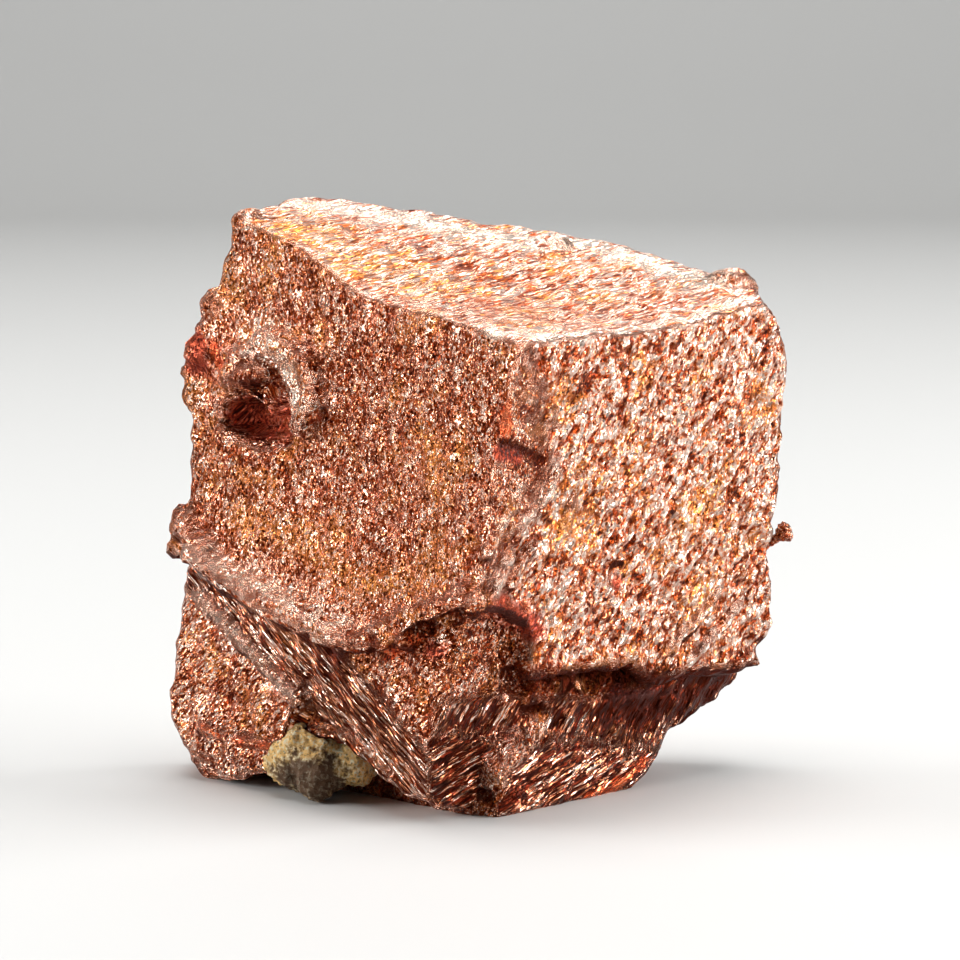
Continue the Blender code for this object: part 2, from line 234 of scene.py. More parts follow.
# Pits on the front faces: the pocket, two chips under the ledge's lip and an etch pit. Each has its
# face, X and Z on it, how far out it lies, and its three radii.
PITS = (
    (LEFT_FRONT, (-16.0, 27.9), 0.4, (3.4, 2.8, 3.2)),
    (LEFT_FRONT, (-2.6, 13.4), 0.3, (2.6, 1.4, 1.2)),
    (RIGHT_FRONT, (1.6, 13.2), 0.3, (1.8, 1.6, 1.4)),
    (RIGHT_FRONT, (9.6, 16.4), 0.3, (0.9, 0.7, 0.7)),
)
HOLLOW_BENEATH = ((4.0, 8.5, -1.0), (4.0, 4.0, 2.2))

# Waves are sums of sines in directions that turn by the golden angle. There are gentle ones over the
# skin, and larger ones that come in towards the rear and fade below the rim: their width
# and height, and where they start and over how far.
SINES = 7
GOLDEN_ANGLE = 137.5
SKIN_WAVES = (3.0, 0.1)
REAR_WAVES = (8.0, 0.6)
REAR_START = 10.0
RIM_HEIGHT = 39.0
FADE = 5.0

# Lumps of the matrix rock: the point, then its three radii.
MATRIX_LUMPS = (
    ((-11.9, 5.6, 3.0), (3.4, 3.4, 2.8)),
    ((-11.4, 2.9, 1.9), (1.5, 1.5, 1.9)),
    ((-9.0, 3.6, 2.7), (1.9, 2.0, 1.7)),
    ((-14.2, 5.6, 2.4), (1.6, 1.7, 1.3)),
)
MATRIX_WAVES = (2.2, 0.12)

# The faces that carry fine features: below the ledge they are set back.
BLOCK_FRONT = (-40.4, 3.9, 7.2)
RIGHT_INNER = (43.9, -9.8, 7.2)

# Routes that carry both a ridge or groove and a tint, as X and Z.
BLOCK_CREST = ((-20.3, 13.4), (-17.5, 11.1), (-14.5, 8.4), (-12.8, 7.0))
BLOCK_SEAM = ((-20.1, 4.0), (-17.1, 3.6), (-14.0, 3.5))
FOOT_CREST = ((1.0, 2.1), (2.1, 3.3), (3.5, 4.8), (4.5, 6.3))
RIGHT_UNDERCUT = ((3.1, 9.4), (5.5, 8.9), (8.4, 8.4), (11.3, 8.0), (13.0, 7.9))

# Fine ridges and grooves: the face, a route of places on it as X and Z, how far out the route lies,
# and the radius.
FINE_RIDGES = (
    (LEFT_FRONT, ((-20.4, 16.6), (-18.4, 15.5), (-15.5, 14.6), (-12.5, 13.6), (-10.2, 12.8)), 0.4, 0.6),
    (LEFT_FRONT, ((-8.9, 12.2), (-7.3, 13.1), (-5.4, 14.4), (-3.4, 15.5), (-1.2, 16.3)), 0.4, 0.55),
    (LEFT_FRONT, ((-18.0, 29.4), (-16.9, 31.2), (-15.8, 32.0), (-14.7, 32.8)), 0.1, 0.55),
    (LEFT_FRONT, ((-18.6, 28.4), (-17.2, 29.6), (-15.6, 30.2)), -0.5, 0.9),
    (LEFT_FRONT, ((-16.4, 28.6), (-15.2, 27.2)), -0.7, 0.3),
    (RIGHT_INNER, ((3.5, 8.0), (7.8, 6.9), (11.1, 6.7), (12.9, 6.9), (15.1, 8.6)), -0.3, 0.5),
    (BAND, ((-13.5, 5.6), (-12.8, 4.7), (-9.4, 5.1), (-6.2, 2.9)), -0.1, 0.45),
    (BLOCK_FRONT, BLOCK_CREST, 0.0, 0.45),
    (FOOT_FACE, FOOT_CREST, 0.0, 0.5),
    (BLOCK_FRONT, BLOCK_SEAM, -0.05, 0.35),
    (RIGHT_FRONT, ((0.5, 19.4), (2.7, 23.6)), 0.0, 0.36),
    (RIGHT_FRONT, ((3.5, 21.4), (5.2, 24.3)), 0.0, 0.42),
    (RIGHT_FRONT, ((5.8, 20.3), (6.8, 24.1)), 0.0, 0.32),
    (RIGHT_FRONT, ((0.7, 16.1), (1.9, 19.0)), 0.0, 0.4),
    (RIGHT_FRONT, ((2.0, 17.0), (3.4, 19.6)), 0.0, 0.36),
    (RIGHT_FRONT, ((15.0, 9.0), (18.8, 12.6)), 0.0, 0.36),
    (RIGHT_FRONT, ((13.6, 10.4), (17.2, 13.8)), 0.0, 0.36),
)
GROOVES = (
    (LEFT_FRONT, ((-20.2, 14.2), (-18.2, 13.6), (-15.5, 13.0), (-13.0, 12.0), (-9.7, 11.0)), 0.1, 0.75),
    (LEFT_FRONT, ((-9.7, 11.0), (-8.0, 11.1), (-5.8, 12.9), (-4.1, 14.1), (-1.2, 15.4)), -0.1, 0.6),
    (RIGHT_FRONT, RIGHT_UNDERCUT, -1.5, 1.1),
    (RIGHT_FRONT, ((0.6, 27.2), (2.4, 26.7), (4.2, 25.4)), 0.15, 0.4),
    (LEFT_FRONT, ((-17.4, 27.0), (-14.4, 26.4)), -1.2, 1.5),
)

# Tints on the copper: real cuprite, rust and golden tarnish, a painted highlight on rims and crests, and
# painted shade under the ledges, in grooves and in the pocket. Each has the face, a route of places on it,
# and how far the tint spreads.
TINTS = {
    "cuprite": (
        (BLOCK_FRONT, ((-17.8, 27.5), (-15.6, 26.4), (-13.4, 26.8)), 1.8),
        (LEFT_FRONT, ((-19.9, 31.8), (-20.1, 30.2)), 1.2),
        (LEFT_FRONT, ((-17.8, 15.5), (-16.6, 14.6)), 0.7),
        (RIGHT_FRONT, ((0.9, 15.2), (3.4, 13.4)), 1.7),
        (LEFT_FRONT, ((-3.6, 12.6), (-0.6, 13.4)), 1.0),
        (LEFT_FRONT, ((-2.4, 10.4), (-0.8, 9.4)), 0.9),
        (RIGHT_FRONT, ((9.6, 16.5), (9.7, 15.9)), 0.7),
        (RIGHT_FRONT, ((0.6, 26.6), (2.6, 26.0)), 0.7),
        (RIGHT_INNER, ((9.6, 7.2), (12.4, 7.0)), 0.6),
    ),
    "rust": (
        (LEFT_FRONT, ((-7.8, 10.6), (-6.2, 11.9), (-4.4, 13.2), (-2.7, 14.3)), 0.6),
        (LEFT_FRONT, ((-19.4, 15.3), (-18.0, 14.9)), 0.5),
        (LEFT_FRONT, ((-12.2, 28.2), (-11.6, 27.6)), 0.7),
        (LEFT_FRONT, ((-19.0, 31.8), (-18.4, 30.4)), 0.5),
        (LEFT_FRONT, ((-15.6, 25.2), (-14.6, 25.0)), 0.6),
        (RIGHT_FRONT, ((1.4, 29.9), (1.8, 28.0)), 0.9),
        (BLOCK_FRONT, BLOCK_SEAM, 0.4),
        (RIGHT_INNER, ((11.1, 6.9), (12.9, 7.1), (15.1, 8.6)), 0.4),
        (FOOT_FACE, ((7.6, -0.1), (10.2, 0.8), (11.8, 1.9)), 0.6),
        (FOOT_FACE, ((1.0, 4.4), (1.8, 5.2)), 0.6),
    ),
    # Painted highlight along rims, crests and bright streaks.
    "pale": (
        (LEFT_FRONT, ((-15.8, 32.6), (-14.0, 32.1), (-13.1, 30.4), (-12.6, 28.2)), 1.5),
        (LEFT_FRONT, ((-20.6, 17.0), (-18.8, 16.3), (-16.4, 15.4), (-12.5, 14.1), (-9.6, 13.2)), 1.1),
        (BLOCK_FRONT, BLOCK_CREST, 0.6),
        (FOOT_FACE, FOOT_CREST, 0.6),
        (TOP, ((-16.5, 40.6), (-15.3, 39.4), (-12.3, 38.2), (-9.1, 37.1)), 0.8),
        (TOP, ((-9.1, 37.1), (-5.4, 35.9), (0.0, 34.5)), 0.8),
        (TOP, ((0.0, 34.5), (4.0, 34.1), (8.1, 34.4), (13.8, 34.8), (19.0, 35.3)), 0.8),
        (TOP, ((-12.9, 41.5), (-8.6, 41.0), (-3.6, 40.1), (1.4, 39.2), (8.6, 38.4), (17.0, 36.0)), 1.5),
        (RIGHT_FRONT, ((0.6, 19.4), (2.7, 23.6)), 0.55),
        (RIGHT_FRONT, ((3.5, 21.4), (5.2, 24.3)), 0.6),
        (RIGHT_FRONT, ((0.7, 16.1), (1.9, 19.0)), 0.5),
        (RIGHT_FRONT, ((15.0, 9.0), (18.8, 12.6)), 0.35),
        (RIGHT_FRONT, ((13.6, 10.4), (17.2, 13.8)), 0.35),
    ),
    "golden": (
        (TOP, ((-13.4, 40.3), (-11.2, 39.7), (-9.0, 38.9), (-5.6, 38.2), (-2.8, 37.6)), 2.2),
        (RIGHT_FRONT, ((5.4, 21.1), (7.6, 19.3)), 1.2),
        (RIGHT_FRONT, ((14.8, 19.7), (15.9, 21.0)), 1.6),
        (RIGHT_FRONT, ((15.4, 12.8), (15.9, 14.4)), 1.4),
        (LEFT_FRONT, ((-18.4, 37.1), (-17.6, 35.6)), 1.5),
        (LEFT_FRONT, ((-17.0, 20.0), (-12.5, 18.6), (-9.0, 16.4), (-4.1, 17.2)), 1.2),
        (LEFT_FRONT, ((-3.4, 26.1), (-3.0, 23.0)), 1.2),
    ),
    # Painted shade under the ledges, in grooves and in the pocket.
    "dull": (
        (RIGHT_FRONT, RIGHT_UNDERCUT, 1.6),
        (LEFT_FRONT, ((-20.2, 14.2), (-18.2, 13.6), (-15.5, 12.9), (-13.0, 11.9), (-9.7, 10.9)), 0.95),
        (LEFT_FRONT, ((-9.7, 10.9), (-8.0, 11.1), (-5.8, 12.9), (-4.1, 14.1), (-1.2, 15.4)), 0.6),
        (LEFT_FRONT, ((-16.6, 29.6), (-15.4, 29.2)), 0.7),
        (RIGHT_FRONT, ((1.4, 27.0), (2.6, 26.6), (4.2, 25.4)), 0.4),
        (RIGHT_FRONT, ((0.6, 9.8), (1.4, 8.6)), 0.8),
        (RIGHT_INNER, ((9.0, 6.2), (13.0, 6.0), (17.5, 6.8)), 1.5),
    ),
}

# The nub on the right side: points along its stalk and head, its radius at each, its rings of points,
# and the size and height of its roughness.
NUB_PATH = (
    (20.2, 12.4, 16.6),
    (21.0, 12.2, 17.1),
    (21.5, 12.1, 17.4),
    (22.0, 12.0, 17.8),
    (22.5, 11.9, 18.0),
)
NUB_RADII = (0.45, 0.3, 0.35, 0.75, 0.6)
NUB_RINGS = 33
NUB_SIDES = 24
NUB_CELLS = (0.35, 0.5)

# The camera, its lens and sensor in millimetres. It aims at a height above the middle, in metres.
LENS = 150.0
SENSOR = 36.0
CAMERA_DISTANCE = 0.276
CAMERA_ELEVATION = math.radians(8.0)
AIM_HEIGHT = 0.0233

# Each light: azimuth and elevation in degrees, then distance, width and height in metres.
LIGHTS = {
    "key": (88.0, 14.0, 0.45, 0.4, 0.26),
    "back": (172.0, 37.0, 0.52, 0.46, 0.4),
    "fill": (-92.0, 14.0, 0.5, 0.26, 0.24),
    "overhead": (0.0, 88.0, 0.7, 0.5, 0.5),
}


def looks_along(azimuth, tilt):
    """Unit vector out of a face."""
    a, t = math.radians(azimuth), math.radians(tilt)
    return np.array((math.sin(a) * math.cos(t), -math.cos(a) * math.cos(t), math.sin(t)))


def ramp(values, start, end):
    """0 at the start, 1 at the end and beyond it, and straight between."""
    return np.clip((values - start) / (end - start), 0.0, 1.0)


def past(points, face, inset=0.0):
    """Distance of each point beyond a face that is moved inwards by the inset."""
    azimuth, tilt, reach = face
    return (points - HEART) @ looks_along(azimuth, tilt) - (reach - inset)


def on_face(face, x, z, out=0.0):
    """The point of a steep face at this X and Z, moved out from it."""
    azimuth, tilt, reach = face
    normal = looks_along(azimuth, tilt)
    y = HEART[1] + (reach - normal[0] * (x - HEART[0]) - normal[2] * (z - HEART[2])) / normal[1]
    return np.array((x, y, z)) + normal * out


def soft_max(first, second, softness):
    """The larger of two distances, rounded where they are nearly equal."""
    near = np.maximum(softness - np.abs(first - second), 0.0)
    return np.maximum(first, second) + near * near / (4.0 * softness)


def soft_min(first, second, softness):
    return -soft_max(-first, -second, softness)


def behind(points, faces, *cuts):
    """The body behind all of these faces, each with its inset, and inside the cuts."""
    distances = [*(past(points, *face) for face in faces), *cuts]
    result = distances[0]
    for distance in distances[1:]:
        result = soft_max(result, distance, EDGE_SOFTNESS)
    return result


def hollow(points, centre, radii, depth):
    """A smooth dish: its depth falls off as a bell curve of the distance in radii."""
    spread = (((points - centre) / radii) ** 2).sum(axis=1)
    return depth * np.exp(-spread)


def above_ledge(points):
    return points[:, 2] - np.interp(points[:, 0], LEDGE_X, LEDGE_Z)


def main_crystal(points):
    """The distorted cube, cut off below along the ledge."""
    dish = sum(hollow(points, *one) for one in TOP_DISHES)
    scoop = hollow(points, on_face(LEFT_FRONT, *SCOOP_PLACE), SCOOP_RADII, SCOOP_DEPTH)
    form = soft_max(past(points, TOP) + dish, past(points, LEFT_FRONT) + scoop, EDGE_SOFTNESS)
    for face in MAIN_FACES:
        form = soft_max(form, past(points, face), EDGE_SOFTNESS)
    return soft_max(form, -LEDGE_STEEPNESS * above_ledge(points), EDGE_SOFTNESS)


def lower_crystal(points):
    """The smaller crystal under the front edge, with its long band and its lower right face."""
    return behind(points, LOWER_FACES, above_ledge(points) - LEDGE_OVERLAP)


def foot(points):
    """The proud end of the lower right face, which reaches the ground in front."""
    return behind(points, FOOT_FACES, points[:, 2] - FOOT_TOP)


def right_wedge(points):
    """What carries the right front face where it overhangs."""
    return behind(points, WEDGE_FACES, above_ledge(points) - LEDGE_OVERLAP, WEDGE_START - points[:, 0])


def low_block(points):
    """The low block at the left, set back from the face above it."""
    return behind(points, LOW_BLOCK_FACES, above_ledge(points) - LEDGE_OVERLAP)


def rib(points, route, radius):
    """Distance to a round ridge along a route of given points."""
    nearest = np.full(len(points), np.inf)
    for start, end in zip(route[:-1], route[1:]):
        along = end - start
        share = np.clip((points - start) @ along / (along @ along), 0.0, 1.0)
        gap = points - (start + share[:, None] * along)
        nearest = np.minimum(nearest, np.sqrt((gap * gap).sum(axis=1)))
    return nearest - radius


def lump(points, centre, radii):
    """Distance to a rounded lump, nearly true close to its skin."""
    radii = np.asarray(radii, float)
    scaled = np.sqrt((((points - centre) / radii) ** 2).sum(axis=1))
    return (scaled - 1.0) * radii.min()


def face_route(face, places, out):
    return [on_face(face, x, z, out) for x, z in places]


def lumps(points):
    """Lumps on the left outline and on the rims, and the foot hidden at the rear."""
    found = np.full(len(points), np.inf)
    for x, z, radius in LEFT_LUMPS:
        centre = on_face(LEFT_FRONT, x, z, -0.5 * radius)
        found = np.minimum(found, lump(points, centre, (radius, radius, radius)))
    for centre, radii in FREE_LUMPS:
        found = np.minimum(found, lump(points, centre, radii))
    return found


def pits(points):
    """The pits on the front faces, and the hollow between the feet."""
    found = lump(points, *HOLLOW_BENEATH)
    for face, place, out, radii in PITS:
        found = np.minimum(found, lump(points, on_face(face, *place, out), radii))
    return found


def waves(points, size, height):
    """Gentle bumps about as wide as the size: bent sines, their directions a golden angle apart."""
    total = np.zeros(len(points))
    for turn in range(SINES):
        along = points @ looks_along(GOLDEN_ANGLE * turn, 20.0 * turn - 60.0)
        across = points @ looks_along(GOLDEN_ANGLE * turn + 71.0, 40.0 - 20.0 * turn)
        bend = np.sin(across * math.tau / (1.7 * size) + turn)
        total += np.sin(along * (1.0 + 0.13 * turn) * math.tau / size + 1.3 * bend + 2.0 * turn)
    return height * total / 3.0


def nearest_rib(points, features):
    """Distance to the nearest of these ridges or grooves."""
    found = np.full(len(points), np.inf)
    for face, places, out, radius in features:
        found = np.minimum(found, rib(points, face_route(face, places, out), radius))
    return found


def copper_form(points):
    """Signed distance, roughly, to the skin of the copper: negative inside. It stands on the level 0."""
    form = main_crystal(points)
    for part in (lower_crystal, foot, right_wedge, low_block, lumps):
        form = soft_min(form, part(points), JOIN_SOFTNESS)
    form = soft_min(form, nearest_rib(points, RIDGES), JOIN_SOFTNESS)
    form = soft_max(form, -pits(points), JOIN_SOFTNESS)
    form = soft_max(form, -nearest_rib(points, GROOVES), FINE_SOFTNESS)
    form = soft_min(form, nearest_rib(points, FINE_RIDGES), FINE_SOFTNESS)
    rearward = ramp(points[:, 1], REAR_START, REAR_START + FADE)
    below_rim = ramp(points[:, 2], RIM_HEIGHT, RIM_HEIGHT - FADE)
    form = form + waves(points, *SKIN_WAVES) + rearward * below_rim * waves(points, *REAR_WAVES)
    return np.maximum(form, -points[:, 2])


def matrix_form(points):
    """The rock that fills the notch beside the band, with a thin gap to the copper."""
    form = np.full(len(points), np.inf)
    for place, radii in MATRIX_LUMPS:
        form = soft_min(form, lump(points, place, radii), JOIN_SOFTNESS)
    form = form + waves(points, *MATRIX_WAVES)
    return np.maximum(form, GAP - copper_form(points))


def box_net(cuts):
    """Points from 0 to 1 and quads of a box's six sides: each side is a grid of two parameters.

    A side lies across one axis, at its start or its end. The grids meet in whole-number points,
    so those that two or three sides share are found again as equal rows and kept once.
    """
    corners = []
    for axis in range(3):
        first, second = (axis + 1) % 3, (axis + 2) % 3
        one, two = np.meshgrid(np.arange(cuts[first]), np.arange(cuts[second]), indexing="ij")
        for end in (0, cuts[axis]):
            steps = ((0, 0), (1, 0), (1, 1), (0, 1)) if end else ((0, 0), (0, 1), (1, 1), (1, 0))
            quads = np.empty((one.size, 4, 3), int)
            quads[:, :, axis] = end
            for corner, (along_first, along_second) in enumerate(steps):
                quads[:, corner, first] = one.ravel() + along_first
                quads[:, corner, second] = two.ravel() + along_second
            corners.append(quads)
    corners = np.concatenate(corners)
    places, index = np.unique(corners.reshape(-1, 3), axis=0, return_inverse=True)
    return places / np.array(cuts), index.reshape(-1, 4)


def between_corners(places, corners):
    """Places in the unit cube, carried over to the box with these eight corners."""
    across, deep, up = places.T[:, :, None]
    low, high = np.array(corners)
    levels = [
        (1 - across) * (1 - deep) * level[0]
        + across * (1 - deep) * level[1]
        + across * deep * level[2]
        + (1 - across) * deep * level[3]
        for level in (low, high)
    ]
    return (1 - up) * levels[0] + up * levels[1]


def pushed_out(form, places, box, core):
    """Each point comes in from far along its ray, by the distance still free, to the skin."""
    start = between_corners(places, core)
    ray = between_corners(places, box) - start
    ray /= np.linalg.norm(ray, axis=1)[:, None]
    reach = np.full(len(start), LONGEST_RAY)
    for _ in range(MARCHING_STEPS):
        free = form(start + reach[:, None] * ray)
        reach = np.maximum(reach - np.maximum(free, 0.0), 0.0)
    return start + reach[:, None] * ray


def slope(form, points):
    """The form's value at each point, and how it changes along X, Y and Z."""
    here = form(points)
    changes = [(form(points + SLOPE_STEP * axis) - here) / SLOPE_STEP for axis in np.eye(3)]
    return here, np.stack(changes, axis=1)


def neighbours_middle(points, quads):
    """The mean of the points that share a side of a quad with each point."""
    starts = quads.ravel()
    ends = np.roll(quads, -1, axis=1).ravel()
    count = np.bincount(starts, minlength=len(points))
    sums = [np.bincount(starts, points[ends, axis], len(points)) for axis in range(3)]
    return np.stack(sums, axis=1) / count[:, None]


def settled(form, points, quads, rounds):
    """Evens the net out: each point moves towards its neighbours' middle, then back to the skin."""
    for _ in range(rounds):
        for _ in range(EVENINGS):
            points = points + EVENING * (neighbours_middle(points, quads) - points)
        here, change = slope(form, points)
        steepness = np.maximum((change * change).sum(axis=1), LEAST_STEEPNESS)
        move = np.clip(here / steepness, -FARTHEST_MOVE, FARTHEST_MOVE)
        points = points - move[:, None] * change
    return points


def scattered(cubes, seed):
    """Three even numbers from 0 to 1 for each cube of a grid, always the same for the same cube."""
    mixed = cubes @ np.array(((127.1, 269.5, 419.2), (311.7, 183.3, 371.9), (74.7, 246.1, 124.6)))
    tall = np.sin(mixed + seed) * 43758.5453
    return tall - np.floor(tall)


def cells(points, seed=0.0):
    """Distance from each point to the nearest of dots scattered one to a unit cube."""
    cube = np.floor(points)
    nearest = np.full(len(points), 9.0)
    for shift in itertools.product((-1, 0, 1), repeat=3):
        neighbour = cube + shift
        gap = points - (neighbour + scattered(neighbour, seed))
        nearest = np.minimum(nearest, (gap * gap).sum(axis=1))
    return np.sqrt(nearest)


def grains(points, kinds):
    """Height of hillocks around scattered dots, summed over the kinds."""
    return sum(steep * (level - cells(points / width, seed)) for width, seed, steep, level in kinds)


def lineation(face, screen_angle, stretch):
    """The direction in a face that looks tilted by this angle from the front, longer for more stretch.

    Points moved back by this vector times their own reach along it lie closer together that way,
    so that a pattern on them is drawn out.
    """
    normal = looks_along(face[0], face[1])
    angle = math.radians(screen_angle)
    up = np.array((0.0, math.sin(CAMERA_ELEVATION), math.cos(CAMERA_ELEVATION)))
    away = np.array((0.0, math.cos(CAMERA_ELEVATION), -math.sin(CAMERA_ELEVATION)))
    seen = math.cos(angle) * np.array((1.0, 0.0, 0.0)) + math.sin(angle) * up
    lying = seen - away * (seen @ normal) / (away @ normal)
    return lying / np.linalg.norm(lying) * math.sqrt(1.0 - 1.0 / stretch)


# What each kind of face looks like: the face and how far it is set back, the angle and stretch of its
# grain, grain size and relief in millimetres, and then, from 0 to 1, how much of its glints gets the pale
# painted highlight, how much painted shine it has (0 is average), how dark its painted shade is, how
# red it is, and how much its grains gather in clumps. The painted shine and shade are set face by face
# for how the light falls. What belongs to no face is plain.
STORED_LOOKS = ("paleness", "shining", "darkness", "redness", "clumping")
Look = namedtuple("Look", ("face", "inset", "angle", "stretch", "size", "relief", *STORED_LOOKS))
LOOKS = {
    "plain": Look(LEFT_FRONT, 0.0, 60.0, 1.4, 0.2, 0.13, 0.9, -0.01, 0.3, 0.35, 0.5),
    "top": Look(TOP, 0.0, 14.0, 7.0, 0.15, 0.025, 1.0, 0.09, 0.0, 0.0, 0.2),
    "left": Look(LEFT_FRONT, 0.2, 84.0, 1.5, 0.17, 0.09, 0.85, -0.01, 0.15, 0.2, 0.25),
    "right": Look(RIGHT_FRONT, 0.0, 66.0, 1.6, 0.29, 0.15, 1.0, 0.09, 0.05, 0.05, 1.0),
    "band": Look(BAND, 0.0, -50.0, 10.0, 0.16, 0.11, 1.0, -0.01, 0.7, 0.15, 0.2),
    "laths": Look(LOWER_RIGHT, 0.0, 58.0, 7.0, 0.22, 0.17, 1.0, -0.06, 0.9, 0.4, 0.6),
    "lower_right": Look(LOWER_RIGHT, 0.0, 30.0, 10.0, 0.19, 0.14, 1.0, -0.09, 1.0, 0.4, 0.3),
    "wedge": Look(WEDGE_UNDERSIDE, 0.0, 40.0, 6.0, 0.15, 0.1, 1.0, -0.15, 1.0, 0.5, 0.2),
    "block": Look(LEFT_FRONT, LOW_BLOCK_INSET, 48.0, 2.4, 0.16, 0.07, 0.9, 0.01, 0.2, 0.1, 0.25),
}

# Hillocks on the copper and crumbs on the rock: width, seed, steepness, and how far out they are level.
HILLOCKS = ((1.1, 0.0, 2.2, 0.52), (0.55, 3.0, 1.1, 0.52))
MATRIX_CRUMBS = ((0.55, 0.0, 0.3, 0.5), (0.25, 5.0, 0.12, 0.5))

# Long low ridges across a face: the angle they are measured along, their width and their height. All
# bend with the same waves, and the skin's relief is full a little above the ground.
CROSSINGS = (
    ("right", 112.0, 1.25, 0.4),
    ("right", -2.0, 0.7, 0.25),
    ("left", -4.0, 1.1, 0.35),
    ("top", -16.0, 1.5, 0.6),
)
CROSSING_STRETCH = 9.0
CROSSING_WAVES = (4.0, 2.2)
FULL_RELIEF = 0.4

# Where a point begins to belong to a face and where it does fully: how nearly it looks that way, how
# near it lies, and how far above the ledge.
FACING = (0.70, 0.85)
CLOSE = (3.2, 2.6)
UPPER = (0.0, 0.5)

# The same for the low block, the band, the lower right face and its laths, by Z and a share of X. The
# laths begin along a wavy line.
BLOCK_SLANT = 0.85
BLOCK_START = (-3.8, -4.3)
BAND_START = (2.0, 1.2)
LOWER_START = (9.3, 8.5)
LATHS_SLANT = 0.25
LATHS_START = (5.6, 6.4)
LATHS_WAVES = (2.0, 0.48)

# Undersides near the ledge get painted shade: how steep they are, and their height from below and from
# above.
UNDERSIDE = (0.4, 0.6)
SHADE_FROM = (3.0, 4.0)
SHADE_TO = (20.0, 19.0)

# Where the fine left-hand skin reaches round the front edge: X against Z on the right front face, and
# how wavy that line is.
TURN_Z = (17.0, 20.0, 25.0, 34.0)
TURN_X = (0.2, 1.4, 4.4, 2.4)
TURN_WAVES = (1.6, 0.7)


def face_weights(points, normals):
    """How far each point belongs to each face of LOOKS, from 0 to 1, by its place and its slope."""
    weights = {}
    for name, look in LOOKS.items():
        facing = ramp(normals @ looks_along(*look.face[:2]), *FACING)
        close = ramp(np.abs(past(points, look.face, look.inset)), *CLOSE)
        weights[name] = facing * close
    upper = ramp(above_ledge(points), *UPPER)
    for name in ("left", "right"):
        weights[name] = weights[name] * upper
    for name in ("band", "laths", "lower_right", "wedge", "block"):
        weights[name] = weights[name] * (1.0 - upper)
    x, _, z = points.T
    turned = np.clip(x - np.interp(z, TURN_Z, TURN_X) + waves(points, *TURN_WAVES), 0.0, 1.0)
    weights["left"] = weights["left"] + weights["right"] * (1.0 - turned)
    weights["right"] = weights["right"] * turned
    weights["block"] = weights["block"] * ramp(z + BLOCK_SLANT * x, *BLOCK_START)
    weights["band"] = weights["band"] * (1.0 - weights["block"]) * ramp(z + x, *BAND_START)
    lower = weights["lower_right"] * ramp(z, *LOWER_START)
    steep = ramp(z + LATHS_SLANT * x + waves(points, *LATHS_WAVES), *LATHS_START)
    weights["laths"] = lower * steep
    weights["lower_right"] = lower * (1.0 - steep)
    weights["plain"] = 0.0
    total = sum(weights.values())
    weights["plain"] = np.clip(1.0 - total, 0.0, 1.0)
    return {name: weight / np.maximum(total, 1.0) for name, weight in weights.items()}


def skin_looks(weights):
    """The looks of each point, blended over the faces; its lineation is that of its strongest face."""
    looks = {
        field: sum(weights[name] * getattr(look, field) for name, look in LOOKS.items())
        for field in ("size", "relief", *STORED_LOOKS)
    }
    directions = np.array([lineation(look.face, look.angle, look.stretch) for look in LOOKS.values()])
    strongest = np.argmax([weights[name] for name in LOOKS], axis=0)
    looks["lineation"] = directions[strongest]
    return looks


def etched(points, weights, looks):
    """How high the grains stand at each point, from about -1 to 1, and how much that is in millimetres.

    Hillocks of two sizes are drawn out along the face's lineation, and long low ridges cross the
    top and the two front faces.
    """
    flow = looks["lineation"]
    drawn = points - flow * (points * flow).sum(axis=1)[:, None]
    raised = grains(drawn, HILLOCKS)
    bend = waves(points, *CROSSING_WAVES)
    for name, angle, width, height in CROSSINGS:
        across = points @ lineation(LOOKS[name].face, angle, CROSSING_STRETCH)
        raised += weights[name] * height * np.sin(across * math.tau / width + bend)
    return raised, raised * looks["relief"] * ramp(points[:, 2], 0.0, FULL_RELIEF)


def tinted(points, routes):
    """How strong a tint is at each point, from 0 to 1: fading with the distance from its routes."""
    found = np.zeros(len(points))
    for face, places, spread in routes:
        distance = rib(points, face_route(face, places, 0.0), 0.0)
        found = np.maximum(found, np.exp(-((distance / spread) ** 2)))
    return found


def linked(name, data):
    """A new object in the scene."""
    made = bpy.data.objects.new(name, data)
    bpy.context.scene.collection.objects.link(made)
    return made


def mesh_object(name, points, quads, caps=()):
    """A closed mesh in metres, centred as the solids are."""
    mesh = bpy.data.meshes.new(name)
    mesh.from_pydata(((points - BOX_MIDDLE) * MILLIMETRE).tolist(), [], [*quads.tolist(), *caps])
    mesh.shade_smooth()
    return linked(name, mesh)


def keep_values(mesh, name, values):
    """Stores a number or a vector for each point of the mesh, for its material to read."""
    kind, field = ("FLOAT_VECTOR", "vector") if values.ndim == 2 else ("FLOAT", "value")
    attribute = mesh.attributes.new(name, kind, "POINT")
    attribute.data.foreach_set(field, np.ascontiguousarray(values, np.float32).ravel())


def unit(vectors):
    return vectors / np.maximum(np.linalg.norm(vectors, axis=1), 1e-9)[:, None]


class Socket:
    """A value or vector in a material, with Python's operators in place of Math nodes."""

    def __init__(self, nodes, output):
        self.nodes = nodes
        self.output = output

    def maths(self, operation, *values):
        return self.nodes.add("ShaderNodeMath", {"operation": operation}, *values)

    def __add__(self, other):
        return self.maths("ADD", self, other)

    def __mul__(self, other):
        return self.maths("MULTIPLY", self, other)

    def __sub__(self, other):
        return self.maths("SUBTRACT", self, other)

    def __rsub__(self, other):
        return self.maths("SUBTRACT", other, self)

    def __truediv__(self, other):
        return self.maths("DIVIDE", self, other)

    def __rtruediv__(self, other):
        return self.maths("DIVIDE", other, self)

    __radd__ = __add__
    __rmul__ = __mul__

    def between(self, low, high):
        """0 below low, 1 above high, and smooth between."""
        settings = {"interpolation_type": "SMOOTHSTEP"}
        return self.nodes.add("ShaderNodeMapRange", settings, self, low, high)


